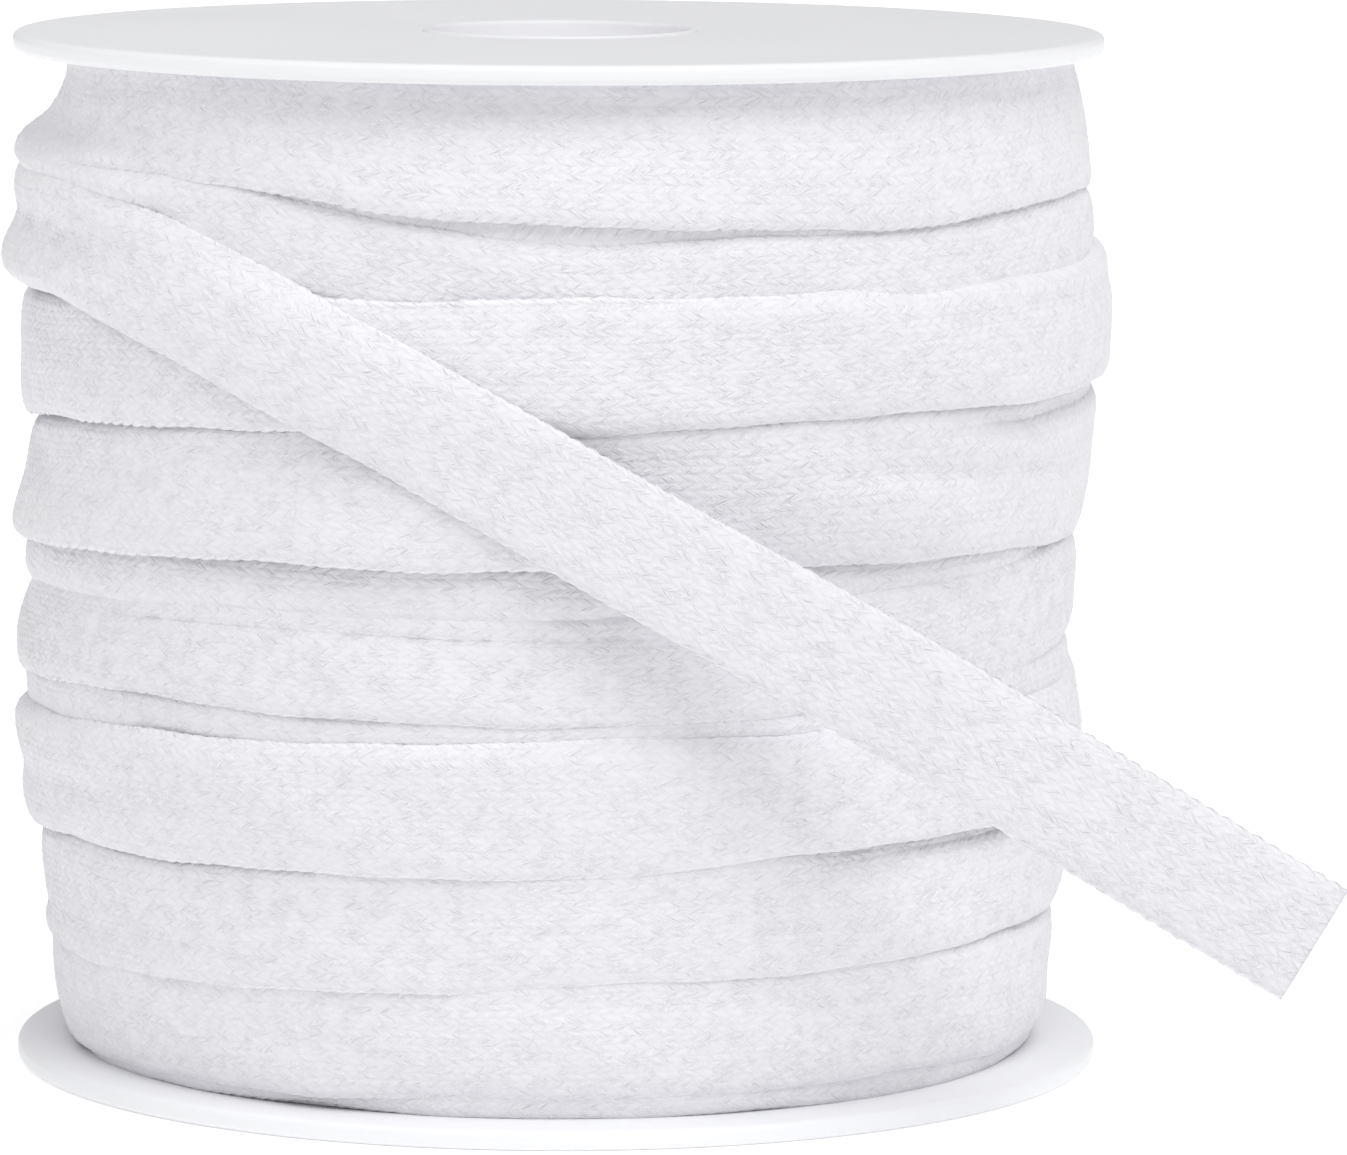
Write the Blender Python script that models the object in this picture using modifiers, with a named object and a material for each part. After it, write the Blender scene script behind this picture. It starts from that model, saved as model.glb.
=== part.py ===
# Roll of flat braided drawstring cord on a plastic reel, one loose end pulled across the front.
# Metres, +Z up. Origin: middle of the reel's underside, on the surface that it rests on.
# Azimuth is measured round the reel, in degrees: 0 faces -Y, +90 faces +X, -90 faces -X.
import bpy
import bmesh
import math
import numpy as np

MM = 0.001
GAP = 0.3 * MM                      # clearance between neighbouring pieces

# Reel
FLANGE_RADIUS = 57.0 * MM
FLANGE_THICKNESS = 2.0 * MM
FLANGE_EDGE_ROUND = 0.7 * MM
REEL_HEIGHT = 108.0 * MM            # underside of the lower flange to the top of the upper one
HOLE_RADIUS = 15.0 * MM             # hole in each flange, which the core's neck fills
BORE_RADIUS = 13.4 * MM
HUB_RADIUS = 16.0 * MM              # core between the flanges
LIP_WIDTH = 1.4 * MM                # rounded lip of the core on the upper flange
LIP_HEIGHT = 0.5 * MM
TURNED_STEPS = 72

# Cord
CORD_WIDTH = 13.0 * MM
CORD_THICKNESS = 1.4 * MM
EDGE_ROUND = 0.5 * MM               # rounding of the braid's edges
LEDGE_DROP = 0.1 * MM               # keeps the faces under a turn's edge from being quite level
FOOT_ROOM = 0.4 * MM                # a groove narrower than this has no floor of its own

# The outermost turns, from the lowest up. The cord climbs from each row into the next behind the
# reel. "height" is its lower edge, in mm above the resting face, at the azimuths below. The other
# columns are the radius of its outer face at its lower and upper edge, on the left and the right.
HEIGHT_AZIMUTHS = (-80.0, -40.0, 0.0, 40.0, 80.0)
TURNS = (
    # height                               low_left  up_left  low_right  up_right
    ((2.6, 3.1, 4.0, 4.2, 3.9),            52.4,     53.4,    51.2,      52.2),
    ((12.8, 13.7, 15.6, 16.4, 17.2),       54.6,     54.4,    53.2,      53.4),
    ((25.4, 26.4, 26.9, 28.8, 28.6),       56.2,     56.6,    54.8,      54.9),
    ((42.4, 42.8, 42.1, 43.4, 45.4),       57.0,     55.4,    54.6,      54.4),
    ((56.3, 57.7, 57.9, 57.5, 57.2),       57.2,     55.0,    55.9,      56.3),
    ((68.6, 70.7, 71.5, 72.7, 73.1),       56.4,     55.7,    57.5,      57.6),
)
FIRST_HEIGHT = 2.9                  # mm, where the lowest turn comes out at the back
BOTTOM_RADII = (51.0, 49.6)         # mm, the course under the lowest turn, on the left and the right
LAST_TURN = ((82.0, 84.6, 86.0, 87.2, 88.4), 58.1, 56.5, 56.2, 56.0)
LAST_HEIGHT = 92.0                  # mm, bare course left behind the loose end
FIRST_RISE = (-180.0, -130.0)       # azimuths over which the lowest turn rises to full thickness
LAST_FALL = (-114.0, -108.0)        # azimuths between which the wound cord gives way to its loose end

# The course under the upper flange, a closed ring: its lower edge and its radii, in mm
RING_AZIMUTHS = (-180.0, -80.0, -40.0, 0.0, 40.0, 80.0, 180.0)
RING = {
    "lower_edge":   (97.5, 98.2, 94.8, 92.0, 91.2, 92.4, 97.5),
    "low_radius":   (55.6, 56.0, 56.6, 57.0, 56.4, 55.6, 55.6),
    "up_radius":    (52.4, 51.8, 52.6, 53.4, 53.6, 53.8, 52.4),
    "under_radius": (55.0, 54.9, 55.2, 55.6, 55.6, 55.5, 55.0),
}
RING_GROOVE = (1.7 * MM, 1.2 * MM)  # height and depth of the groove under that course
WINDING_COLUMNS = 60
TURN_ROWS = 6                       # rows of the winding's outer face in each turn
SEAM_ROOM = 1.2 * MM                # under the lowest turn, rows closer to the flange than this close up

# The loose end. On the winding its middle line runs at these heights, in mm, over these azimuths;
# then it leaves the winding and runs on to its cut end, through the heights at these level
# distances, in mm, from the place where it leaves.
TAIL_AZIMUTHS = (-107.0, -90.0, -75.0, -60.0, -40.0, -20.0, -8.0)
TAIL_HEIGHTS = (87.6, 88.5, 88.6, 88.2, 83.5, 75.6, 69.5)
TAIL_FREE_RUNS = (20.0, 40.0, 60.0, 82.9)
TAIL_FREE_HEIGHTS = (58.7, 47.8, 36.2, 22.4)
TAIL_WIDTH = 12.7 * MM              # unwound, the cord draws in a little
TAIL_BOW = 3.0 * MM                 # how far the free run bends back by its end
TAIL_STEP = 3.6 * MM


def material(name, colour, roughness):
    """A Principled BSDF of one colour."""
    made = bpy.data.materials.new(name)
    made.use_nodes = True
    shader = made.node_tree.nodes["Principled BSDF"]
    shader.inputs["Base Color"].default_value = (*colour, 1.0)
    shader.inputs["Roughness"].default_value = roughness
    shader.inputs["Metallic"].default_value = 0.0
    return made


def add_piece(name, mesh, collection, surface):
    """Put a mesh into the object's collection as one named piece."""
    piece = bpy.data.objects.new(name, mesh)
    collection.objects.link(piece)
    mesh.materials.append(surface)
    mesh.shade_smooth()
    mesh.set_sharp_from_angle(angle=math.radians(35.0))
    return piece


def corner(centre_x, centre_z, radius, start, steps=3):
    """Points of a quarter round, clockwise from the angle start in degrees."""
    angles = np.radians(start - np.linspace(0.0, 90.0, steps + 1))
    return [(centre_x + radius * math.cos(a), centre_z + radius * math.sin(a)) for a in angles]


def turned(name, profile, collection, surface):
    """Turn a closed profile of (radius, height) points, clockwise in the XZ plane, round Z."""
    mesh = bpy.data.meshes.new(name)
    rim = [(x, 0.0, z) for x, z in profile]
    mesh.from_pydata(rim, [(i, (i + 1) % len(rim)) for i in range(len(rim))], [])
    piece = bpy.data.objects.new(name, mesh)
    collection.objects.link(piece)
    mesh.materials.append(surface)
    screw = piece.modifiers.new("turn", "SCREW")
    screw.axis = "Z"
    screw.angle = math.tau
    screw.steps = TURNED_STEPS
    screw.render_steps = TURNED_STEPS
    screw.use_merge_vertices = True
    screw.merge_threshold = 0.00001
    screw.use_smooth_shade = True
    return piece


def flange(name, base, collection, surface):
    """One flat flange with rounded edges, its underside at the height base."""
    top = base + FLANGE_THICKNESS
    edge = FLANGE_RADIUS - FLANGE_EDGE_ROUND
    profile = [(HOLE_RADIUS, base), (HOLE_RADIUS, top)]
    profile += corner(edge, top - FLANGE_EDGE_ROUND, FLANGE_EDGE_ROUND, 90.0)
    profile += corner(edge, base + FLANGE_EDGE_ROUND, FLANGE_EDGE_ROUND, 0.0)
    return turned(name, profile, collection, surface)


def core_tube(collection, surface):
    """The reel's core: a hub between the flanges, a neck through each, and a lip on the upper one."""
    neck = HOLE_RADIUS - GAP
    shoulder_low = FLANGE_THICKNESS + GAP
    shoulder_high = REEL_HEIGHT - FLANGE_THICKNESS - GAP
    lip_base = REEL_HEIGHT + GAP
    lip_top = lip_base + LIP_HEIGHT
    lip_radius = neck + LIP_WIDTH
    round_over = LIP_HEIGHT * 0.7
    profile = [(BORE_RADIUS, 0.0)]
    profile += corner(BORE_RADIUS + round_over, lip_top - round_over, round_over, 180.0)
    profile += corner(lip_radius - round_over, lip_top - round_over, round_over, 90.0)
    profile += [
        (lip_radius, lip_base),
        (neck, lip_base),
        (neck, shoulder_high),
        (HUB_RADIUS, shoulder_high),
        (HUB_RADIUS, shoulder_low),
        (neck, shoulder_low),
        (neck, 0.0),
    ]
    return turned("core_tube", profile, collection, surface)


def through(knots, values, at):
    """A smooth curve through the values at the knots: cubic Hermite pieces."""
    knots = np.asarray(knots, float)
    values = np.asarray(values, float)
    slopes = np.empty_like(values)
    slopes[1:-1] = (values[2:] - values[:-2]) / (knots[2:] - knots[:-2])
    slopes[0] = (values[1] - values[0]) / (knots[1] - knots[0])
    slopes[-1] = (values[-1] - values[-2]) / (knots[-1] - knots[-2])
    at = np.clip(at, knots[0], knots[-1])
    cell = np.clip(np.searchsorted(knots, at) - 1, 0, len(knots) - 2)
    width = knots[cell + 1] - knots[cell]
    t = (at - knots[cell]) / width
    start = (2 * t ** 3 - 3 * t ** 2 + 1) * values[cell]
    end = (3 * t ** 2 - 2 * t ** 3) * values[cell + 1]
    bend = (t ** 3 - 2 * t ** 2 + t) * slopes[cell] + (t ** 3 - t ** 2) * slopes[cell + 1]
    return start + end + bend * width


def ramp(at, low, high):
    """0 below low, 1 above high, straight between."""
    return np.clip((at - low) / (high - low), 0.0, 1.0)


def course_knots():
    """Lower edge and radii of the whole wound course, against the angle wound so far."""
    rows = TURNS + (LAST_TURN,)
    angles = [-180.0]
    heights = [FIRST_HEIGHT]
    radius_angles = []
    low_radii = []
    up_radii = []
    for turn, (edge, low_left, up_left, low_right, up_right) in enumerate(rows):
        angles += [360.0 * turn + azimuth for azimuth in HEIGHT_AZIMUTHS]
        heights += list(edge)
        radius_angles += [360.0 * turn - 90.0, 360.0 * turn + 90.0]
        low_radii += [low_left, low_right]
        up_radii += [up_left, up_right]
    angles.append(360.0 * (len(rows) - 1) + 180.0)
    heights.append(LAST_HEIGHT)
    return angles, heights, radius_angles, low_radii, up_radii


def ring_value(column, azimuth):
    """One column of the table RING at an azimuth, in metres."""
    return through(RING_AZIMUTHS, RING[column], azimuth) * MM


def winding_rows(azimuth):
    """Radius and height of every row of the winding's outer face, from the bottom up.

    Each turn has six rows: the groove under it, the rounding of its lower edge, its middle and its
    upper edge. Where the turn above laps over it, it ends at that turn's lower edge.
    """
    angles, heights, radius_angles, low_radii, up_radii = course_knots()
    last = len(TURNS)
    groove_height = ring_value("lower_edge", azimuth) - RING_GROOVE[0]
    under = ring_value("under_radius", azimuth)
    sideways = (1 + np.sin(np.radians(azimuth))) / 2
    bottom_radius = (BOTTOM_RADII[0] + (BOTTOM_RADII[1] - BOTTOM_RADII[0]) * sideways) * MM
    radii = [bottom_radius]
    levels = [np.full_like(azimuth, FLANGE_THICKNESS + GAP)]
    for turn in range(-1, last + 1):
        wound = azimuth + 360.0 * turn
        lower = through(angles, heights, wound) * MM
        above = through(angles, heights, wound + 360.0) * MM
        if turn == -1:
            lower = np.full_like(azimuth, FIRST_HEIGHT * MM)
        if turn == last:
            above = groove_height
        upper = np.minimum(lower + CORD_WIDTH, np.minimum(above, groove_height) - LEDGE_DROP)
        low_radius = through(radius_angles, low_radii, wound) * MM
        up_radius = through(radius_angles, up_radii, wound) * MM
        if turn == last:
            full = 1.0 - ramp(azimuth, *LAST_FALL)
            bare_low = under
            bare_up = under
        else:
            full = ramp(wound, *FIRST_RISE)
            bare_low = bottom_radius
            bare_up = bottom_radius
        low_radius = bare_low + (low_radius - bare_low) * full
        up_radius = bare_up + (up_radius - bare_up) * full
        share = (upper - lower) / CORD_WIDTH
        end_radius = low_radius + (up_radius - low_radius) * share
        middle = (lower + upper) / 2
        small = np.minimum(EDGE_ROUND, (upper - lower) / 4)
        free_edge = ramp(np.minimum(above, groove_height) - upper, 0.0, EDGE_ROUND)
        drop = CORD_THICKNESS * 0.85 * free_edge * full
        foot = lower - LEDGE_DROP
        foot = np.where(foot - levels[-1] < FOOT_ROOM, levels[-1], foot)
        radii += [
            radii[-1],
            np.maximum(radii[-1], low_radius - small / 2),
            low_radius,
            (low_radius + end_radius) / 2 + 0.2 * MM * full,
            end_radius,
            end_radius - drop,
        ]
        levels += [foot, lower, lower + small, middle, upper - small, upper]
    edge = ring_value("lower_edge", azimuth)
    low_radius = ring_value("low_radius", azimuth)
    up_radius = ring_value("up_radius", azimuth)
    top = np.full_like(azimuth, REEL_HEIGHT - FLANGE_THICKNESS - GAP)
    floor = under - RING_GROOVE[1]
    radii += [under, floor, floor, low_radius - EDGE_ROUND / 2, low_radius]
    levels += [
        groove_height,
        groove_height + LEDGE_DROP * 3,
        edge - LEDGE_DROP,
        edge,
        edge + EDGE_ROUND,
    ]
    radii += [(low_radius + up_radius) / 2 + 0.3 * MM, up_radius, up_radius - EDGE_ROUND]
    levels += [(edge + top) / 2, top - EDGE_ROUND, top]
    return np.array(radii), np.array(levels)


def winding(collection, surface):
    """The wound cord as one solid round the core, its turns as overlapping bands."""
    azimuth = np.linspace(-180.0, 180.0, WINDING_COLUMNS + 1)
    radii, levels = winding_rows(azimuth)
    # At the seam behind the reel every turn meets the next one up, so the rows that have no
    # partner there close to a point: those over the last turn, and those under the lowest one,
    # which also close wherever that turn comes down to the flange.
    lowest = slice(1, 1 + TURN_ROWS)
    closed = levels[1 + TURN_ROWS + 1] - levels[0] < SEAM_ROOM
    radii[lowest, closed] = radii[0, closed]
    levels[lowest, closed] = levels[0, closed]
    over = 1 + TURN_ROWS * (len(TURNS) + 1)
    radii[over:over + TURN_ROWS, -1] = radii[over - 1, -1]
    levels[over:over + TURN_ROWS, -1] = levels[over - 1, -1]
    inside = np.full((1, len(azimuth)), HUB_RADIUS + GAP)
    radii = np.vstack([inside, radii, inside])
    levels = np.vstack([levels[:1], levels, levels[-1:]])
    angle = np.radians(azimuth)
    points = np.stack([radii * np.sin(angle), -radii * np.cos(angle), levels], axis=-1)
    rows, columns = radii.shape
    cells = bmesh.new()
    corners = [[cells.verts.new(points[row, column]) for column in range(columns)] for row in range(rows)]
    for row in range(rows):
        above = (row + 1) % rows
        for column in range(columns - 1):
            cells.faces.new((
                corners[row][column],
                corners[row][column + 1],
                corners[above][column + 1],
                corners[above][column],
            ))
    bmesh.ops.remove_doubles(cells, verts=cells.verts, dist=0.000001)
    bmesh.ops.dissolve_degenerate(cells, dist=0.000001, edges=cells.edges)
    bmesh.ops.triangulate(cells, faces=cells.faces)
    bmesh.ops.recalc_face_normals(cells, faces=cells.faces)
    mesh = bpy.data.meshes.new("winding")
    cells.to_mesh(mesh)
    cells.free()
    return add_piece("winding", mesh, collection, surface)


def winding_radius(azimuth, height):
    """Radius of the winding's outer face at each azimuth and height."""
    radii, levels = winding_rows(np.asarray(azimuth, float))
    return np.array([
        np.interp(z, levels[:, i], radii[:, i]) for i, z in enumerate(np.asarray(height, float))
    ])


def tail_line():
    """Level distance run and height of the loose end's middle line, evenly spaced along it."""
    bent = np.radians(np.array(TAIL_AZIMUTHS) - TAIL_AZIMUTHS[0]) * FLANGE_RADIUS
    reach = bent[-1]
    knots = np.concatenate([bent, reach + np.array(TAIL_FREE_RUNS) * MM])
    heights = np.array(TAIL_HEIGHTS + TAIL_FREE_HEIGHTS) * MM
    run = np.linspace(0.0, knots[-1], 400)
    height = through(knots, heights, run)
    length = np.concatenate([[0.0], np.cumsum(np.hypot(np.diff(run), np.diff(height)))])
    even = np.linspace(0.0, length[-1], int(round(length[-1] / TAIL_STEP)) + 1)
    return np.interp(even, length, run), np.interp(even, length, height), reach


def evened(values, measure, reach):
    """The mean or the largest of each value and its neighbours, both ways."""
    padded = np.pad(values, reach, mode="edge")
    shifts = range(2 * reach + 1)
    rows, columns = values.shape
    return measure([padded[i:i + rows, j:j + columns] for i in shifts for j in shifts], axis=0)


def tail_points(run, height, reach, out):
    """Wrap points of the flattened loose end round the winding, then along the free run.

    out is the distance of the inner face from the reel's axis, where it lies on the winding.
    """
    bent = np.minimum(run, reach)
    free = np.maximum(run - reach, 0.0)
    angle = math.radians(TAIL_AZIMUTHS[0]) + bent / FLANGE_RADIUS
    away = out - TAIL_BOW * (free / (TAIL_FREE_RUNS[-1] * MM)) ** 2
    x = away * np.sin(angle) + free * np.cos(angle)
    y = -away * np.cos(angle) + free * np.sin(angle)
    return np.stack([x, y, height], axis=-1)


def loose_end(collection, surface):
    """The last stretch of cord: a flat strip laid over the turns, then standing free to its cut end."""
    run, height, reach = tail_line()
    along = np.stack([np.gradient(run), np.gradient(height)], axis=-1)
    along /= np.linalg.norm(along, axis=1)[:, None]
    half = TAIL_WIDTH / 2
    soft = CORD_THICKNESS * 0.3
    thick = CORD_THICKNESS
    section = (
        (-half + soft, 0.0), (0.0, 0.0), (half - soft, 0.0), (half, thick * 0.5),
        (half - soft, thick), (0.0, thick), (-half + soft, thick), (-half, thick * 0.5),
    )
    # The inner face clears the ridges under it: the largest radius near each point, evened out.
    # Past the winding it keeps the distance that it leaves with.
    stations = np.linspace(-half, half, 9)
    spread = np.linspace(-1.5, 1.5, 5) * MM
    under = []
    for across in stations:
        place = run - across * along[:, 1]
        level = height + across * along[:, 0]
        azimuth = TAIL_AZIMUTHS[0] + np.degrees(place / FLANGE_RADIUS)
        under.append(np.max([winding_radius(azimuth, level + step) for step in spread], axis=0))
    under = np.array(under)
    free = run > reach
    under[:, free] = np.max(under[:, run > reach - TAIL_STEP][:, :1])
    widest = evened(evened(under, np.max, 2), np.mean, 2)
    cells = bmesh.new()
    rings = []
    for across, out in section:
        place = run - across * along[:, 1]
        level = height + across * along[:, 0]
        base = np.array([np.interp(across, stations, widest[:, i]) for i in range(len(run))])
        points = tail_points(place, level, reach, base + GAP + out)
        rings.append([cells.verts.new(point) for point in points])
    count = len(section)
    for side in range(count):
        beside = (side + 1) % count
        for step in range(len(run) - 1):
            cells.faces.new((
                rings[side][step],
                rings[side][step + 1],
                rings[beside][step + 1],
                rings[beside][step],
            ))
    cells.faces.new([ring[0] for ring in rings])
    cells.faces.new([ring[-1] for ring in rings])
    bmesh.ops.triangulate(cells, faces=cells.faces)
    bmesh.ops.recalc_face_normals(cells, faces=cells.faces)
    mesh = bpy.data.meshes.new("loose_end")
    cells.to_mesh(mesh)
    cells.free()
    return add_piece("loose_end", mesh, collection, surface)


def main():
    for thing in list(bpy.data.objects):
        bpy.data.objects.remove(thing)
    roll = bpy.data.collections.new("cord_roll")
    bpy.context.scene.collection.children.link(roll)
    flange_top_plastic = material("flange_top_plastic", (0.80, 0.81, 0.83), 0.35)
    flange_bottom_plastic = material("flange_bottom_plastic", (0.80, 0.81, 0.83), 0.35)
    core_plastic = material("core_plastic", (0.82, 0.82, 0.83), 0.40)
    wound_cotton = material("wound_cotton", (0.86, 0.86, 0.87), 0.90)
    loose_cotton = material("loose_cotton", (0.86, 0.86, 0.87), 0.90)
    flange("flange_top", REEL_HEIGHT - FLANGE_THICKNESS, roll, flange_top_plastic)
    flange("flange_bottom", 0.0, roll, flange_bottom_plastic)
    core_tube(roll, core_plastic)
    winding(roll, wound_cotton)
    loose_end(roll, loose_cotton)


main()
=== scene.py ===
# A roll of flat braided cotton cord on a white plastic reel, its loose end pulled across the front.
# Shapes are worked out in millimetres and written to the meshes in metres.
import math

import bpy
import numpy as np
from mathutils import Matrix


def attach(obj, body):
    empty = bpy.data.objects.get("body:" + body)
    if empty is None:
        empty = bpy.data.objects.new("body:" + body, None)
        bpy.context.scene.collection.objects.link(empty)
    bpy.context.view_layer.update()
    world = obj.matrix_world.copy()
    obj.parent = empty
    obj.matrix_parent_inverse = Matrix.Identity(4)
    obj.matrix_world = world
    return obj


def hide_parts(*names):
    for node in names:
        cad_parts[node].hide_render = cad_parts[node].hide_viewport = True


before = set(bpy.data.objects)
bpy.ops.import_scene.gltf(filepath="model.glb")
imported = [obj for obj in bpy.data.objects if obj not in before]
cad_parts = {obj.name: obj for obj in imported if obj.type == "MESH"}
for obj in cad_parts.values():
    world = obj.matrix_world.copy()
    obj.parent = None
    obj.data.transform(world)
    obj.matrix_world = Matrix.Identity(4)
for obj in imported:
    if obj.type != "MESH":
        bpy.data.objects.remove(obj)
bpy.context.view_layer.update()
mm = 0.001


# Camera: nearly level, far off with a long lens, a little above the reel's top
camera = {
    "place": (0.0, -0.8673, 0.1610),
    "down": 0.1269,        # radians below level
    "turn": 0.01406,       # radians to the right of +Y
    "roll": 0.00455,
    "lens": 221.57,        # mm on a sensor 36 mm wide
    "sensor": 36.0,
}


def makeCamera(setting):
    lens = bpy.data.cameras.new("camera")
    lens.lens = setting["lens"]
    lens.sensor_width = setting["sensor"]
    lens.clip_end = 50.0
    seen = bpy.data.objects.new("camera", lens)
    bpy.context.scene.collection.objects.link(seen)
    down, turn, roll = setting["down"], setting["turn"], setting["roll"]
    ahead = np.array([math.cos(down) * math.sin(turn), math.cos(down) * math.cos(turn), -math.sin(down)])
    level = np.array([math.cos(turn), -math.sin(turn), 0.0])
    above = np.cross(level, ahead)
    right = level * math.cos(roll) + above * math.sin(roll)
    up = above * math.cos(roll) - level * math.sin(roll)
    columns = [*np.stack([right, up, -ahead], axis=1)]
    rows = [[*columns[i], setting["place"][i]] for i in range(3)]
    seen.matrix_world = Matrix(rows + [[0.0, 0.0, 0.0, 1.0]])
    bpy.context.scene.camera = seen


makeCamera(camera)
print("camera set")


# Curves and small irregularities, all on whole arrays


def through(knots, values, at):
    # cubic Hermite pieces; the slope at a knot is that of the chord between its neighbours
    knots = np.asarray(knots, float)
    values = np.asarray(values, float)
    slopes = np.empty_like(values)
    slopes[1:-1] = (values[2:] - values[:-2]) / (knots[2:] - knots[:-2])
    slopes[0] = (values[1] - values[0]) / (knots[1] - knots[0])
    slopes[-1] = (values[-1] - values[-2]) / (knots[-1] - knots[-2])
    at = np.clip(at, knots[0], knots[-1])
    cell = np.clip(np.searchsorted(knots, at) - 1, 0, len(knots) - 2)
    width = knots[cell + 1] - knots[cell]
    t = (at - knots[cell]) / width
    start = (2 * t ** 3 - 3 * t ** 2 + 1) * values[cell]
    end = (3 * t ** 2 - 2 * t ** 3) * values[cell + 1]
    bend = (t ** 3 - 2 * t ** 2 + t) * slopes[cell] + (t ** 3 - t ** 2) * slopes[cell + 1]
    return start + end + bend * width


def ramp(at, low, high):
    # 0 below low and 1 above high, an S between: 3 t squared less 2 t cubed
    t = np.clip((at - low) / (high - low), 0.0, 1.0)
    return t * t * (3.0 - 2.0 * t)


def drift(at, seed, waves):
    # a sum of sines, one for each (length, height), each with a phase from the seed
    total = 0.0
    for number, (length, height) in enumerate(waves):
        total = total + height * np.sin(math.tau * at / length + 2.4 * seed + 1.7 * number)
    return total


def scatter(first, second):
    # a fixed number from -1 to 1 for each pair of whole numbers: the fraction of a large sine
    mixed = np.sin(first * 12.9898 + second * 78.233) * 43758.5453
    return 2.0 * (mixed - np.floor(mixed)) - 1.0


def softBelow(value, limit, blend):
    # the smaller of value and limit, with a rounded corner: a hyperbola that nears both lines
    over = value - limit
    return value - (over + np.sqrt(over ** 2 + blend ** 2)) / 2


def onReel(azimuth, radius, height):
    # azimuth 0 faces -Y and +90 faces +X
    turned = np.radians(azimuth)
    parts = np.broadcast_arrays(radius * np.sin(turned), -radius * np.cos(turned), height)
    return np.stack(parts, axis=-1)


# Meshes from grids


def pieceFrom(name, points, faces, maps, surface, node):
    # maps holds, for each UV map's name, an array of one pair for each corner of each face
    mesh = bpy.data.meshes.new(name)
    mesh.from_pydata((points * mm).tolist(), [], faces)
    for label, pairs in maps.items():
        layer = mesh.uv_layers.new(name=label)
        layer.uv.foreach_set("vector", pairs.astype(np.float32).ravel())
    mesh.materials.append(surface)
    mesh.polygons.foreach_set("use_smooth", np.ones(len(faces), bool))
    mesh.update()
    piece = bpy.data.objects.new(name, mesh)
    bpy.context.scene.collection.objects.link(piece)
    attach(piece, "root")
    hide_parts(node)
    return piece


def ringFaces(columns, around):
    # quads of a closed section, around points long, carried over the columns
    column = np.arange(columns - 1)[:, None]
    side = np.arange(around)[None, :]
    beside = (side + 1) % around
    corners = [column * around + side, (column + 1) * around + side,
               (column + 1) * around + beside, column * around + beside]
    return np.stack(np.broadcast_arrays(*corners), axis=-1).reshape(-1, 4)


def ringPairs(columns, around):
    # the same quads' places in a grid that is one point longer, so that a map can close on itself
    column = np.arange(columns - 1)[:, None]
    side = np.arange(around)[None, :]
    longer = around + 1
    corners = [column * longer + side, (column + 1) * longer + side,
               (column + 1) * longer + side + 1, column * longer + side + 1]
    return np.stack(np.broadcast_arrays(*corners), axis=-1).reshape(-1)


# Shader maths: a wrapped socket on which Python's operators add nodes


class Wire:
    def __init__(self, tree, node=None, output=0):
        self.tree = tree
        self.node = node
        self.socket = node.outputs[output] if node else None

    def make(self, kind, settings=None, values=None, output=0):
        # the settings first, then the values or links of the sockets
        node = self.tree.nodes.new(kind)
        for label, value in (settings or {}).items():
            setattr(node, label, value)
        for label, value in (values or {}).items():
            entry = node.inputs[label]
            if isinstance(value, Wire):
                self.tree.links.new(value.socket, entry)
            else:
                entry.default_value = value
        return Wire(self.tree, node, output)

    def other(self, output):
        return Wire(self.tree, self.node, output)

    def maths(self, operation, *values):
        return self.make("ShaderNodeMath", {"operation": operation}, dict(enumerate(values)))

    def __add__(self, value):
        return self.maths("ADD", self, value)

    def __radd__(self, value):
        return self.maths("ADD", value, self)

    def __sub__(self, value):
        return self.maths("SUBTRACT", self, value)

    def __rsub__(self, value):
        return self.maths("SUBTRACT", value, self)

    def __mul__(self, value):
        return self.maths("MULTIPLY", self, value)

    def __rmul__(self, value):
        return self.maths("MULTIPLY", value, self)

    def __pow__(self, value):
        return self.maths("POWER", self, value)


def newSurface(name, fixed):
    # an empty Principled material; fixed gives the sockets that are alike all over the surface
    surface = bpy.data.materials.new(name)
    surface.use_nodes = True
    shader = surface.node_tree.nodes["Principled BSDF"]
    for label, value in fixed.items():
        shader.inputs[label].default_value = value
    return surface, shader, Wire(surface.node_tree)


def feed(shader, wire, label):
    wire.tree.links.new(wire.socket, shader.inputs[label])


# Cord: a flat herringbone braid
braid = {
    "width": 13.0,         # mm, as wound
    "thickness": 1.4,
    "rows": 18,            # herringbone rows across one face
    "turnStitches": 200,   # stitches of a row in one turn round the reel
    "stitch": 1.75,        # mm along the cord
    "slant": 0.70,         # stitches that a row leans over its own height
    "relief": 0.08,        # mm that a stitch stands over its ends
    "uneven": 0.45,        # share by which the stitches' heights differ
    "round": 0.7,          # power of a bundle's sine, less than 1 for a fuller bundle
    "ends": 0.45,          # share of a stitch's height that is left at its ends
    "level": 0.45,         # the weave's mean height, which lies on the strip's plain face
    "scallop": 0.17,       # mm, the loops along both edges
    "loopUneven": 0.8,     # share by which they differ
    "loopPower": 8,        # how narrow a border they keep to
    "edgePower": 3.2,      # how square the section's edges are
    "curlLow": 0.30,       # mm that the lower edge of the wound cord turns in
    "curlHigh": 1.00,      # and the upper edge
    "curlFrom": 0.68,      # share of the half width at which they start to turn
    # stitches' length along, turn from row to row, and shift along, of the uneven tension
    "pull": ((11.3, 0.8, 0.14), (3.7, 1.9, 0.08)),
    "wobble": ((17.3, 0.10), (7.1, 0.06)),  # stitches and rows, of rows that run a little uneven
    "cutRun": 3.0,         # stitches over which the slant fades at a straight cut end
    "plainBack": 9,        # points across a back that has no weave
    "reach": (0.05, 0.01), # stitches and share to each side, for the slopes
}


def pulled(stitch, row):
    # stitches shifted along their row by two waves that change phase from row to row
    shift = 0.0
    for length, turn, height in braid["pull"]:
        shift = shift + height * np.sin(math.tau * stitch / length + turn * row)
    return stitch + shift


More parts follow.
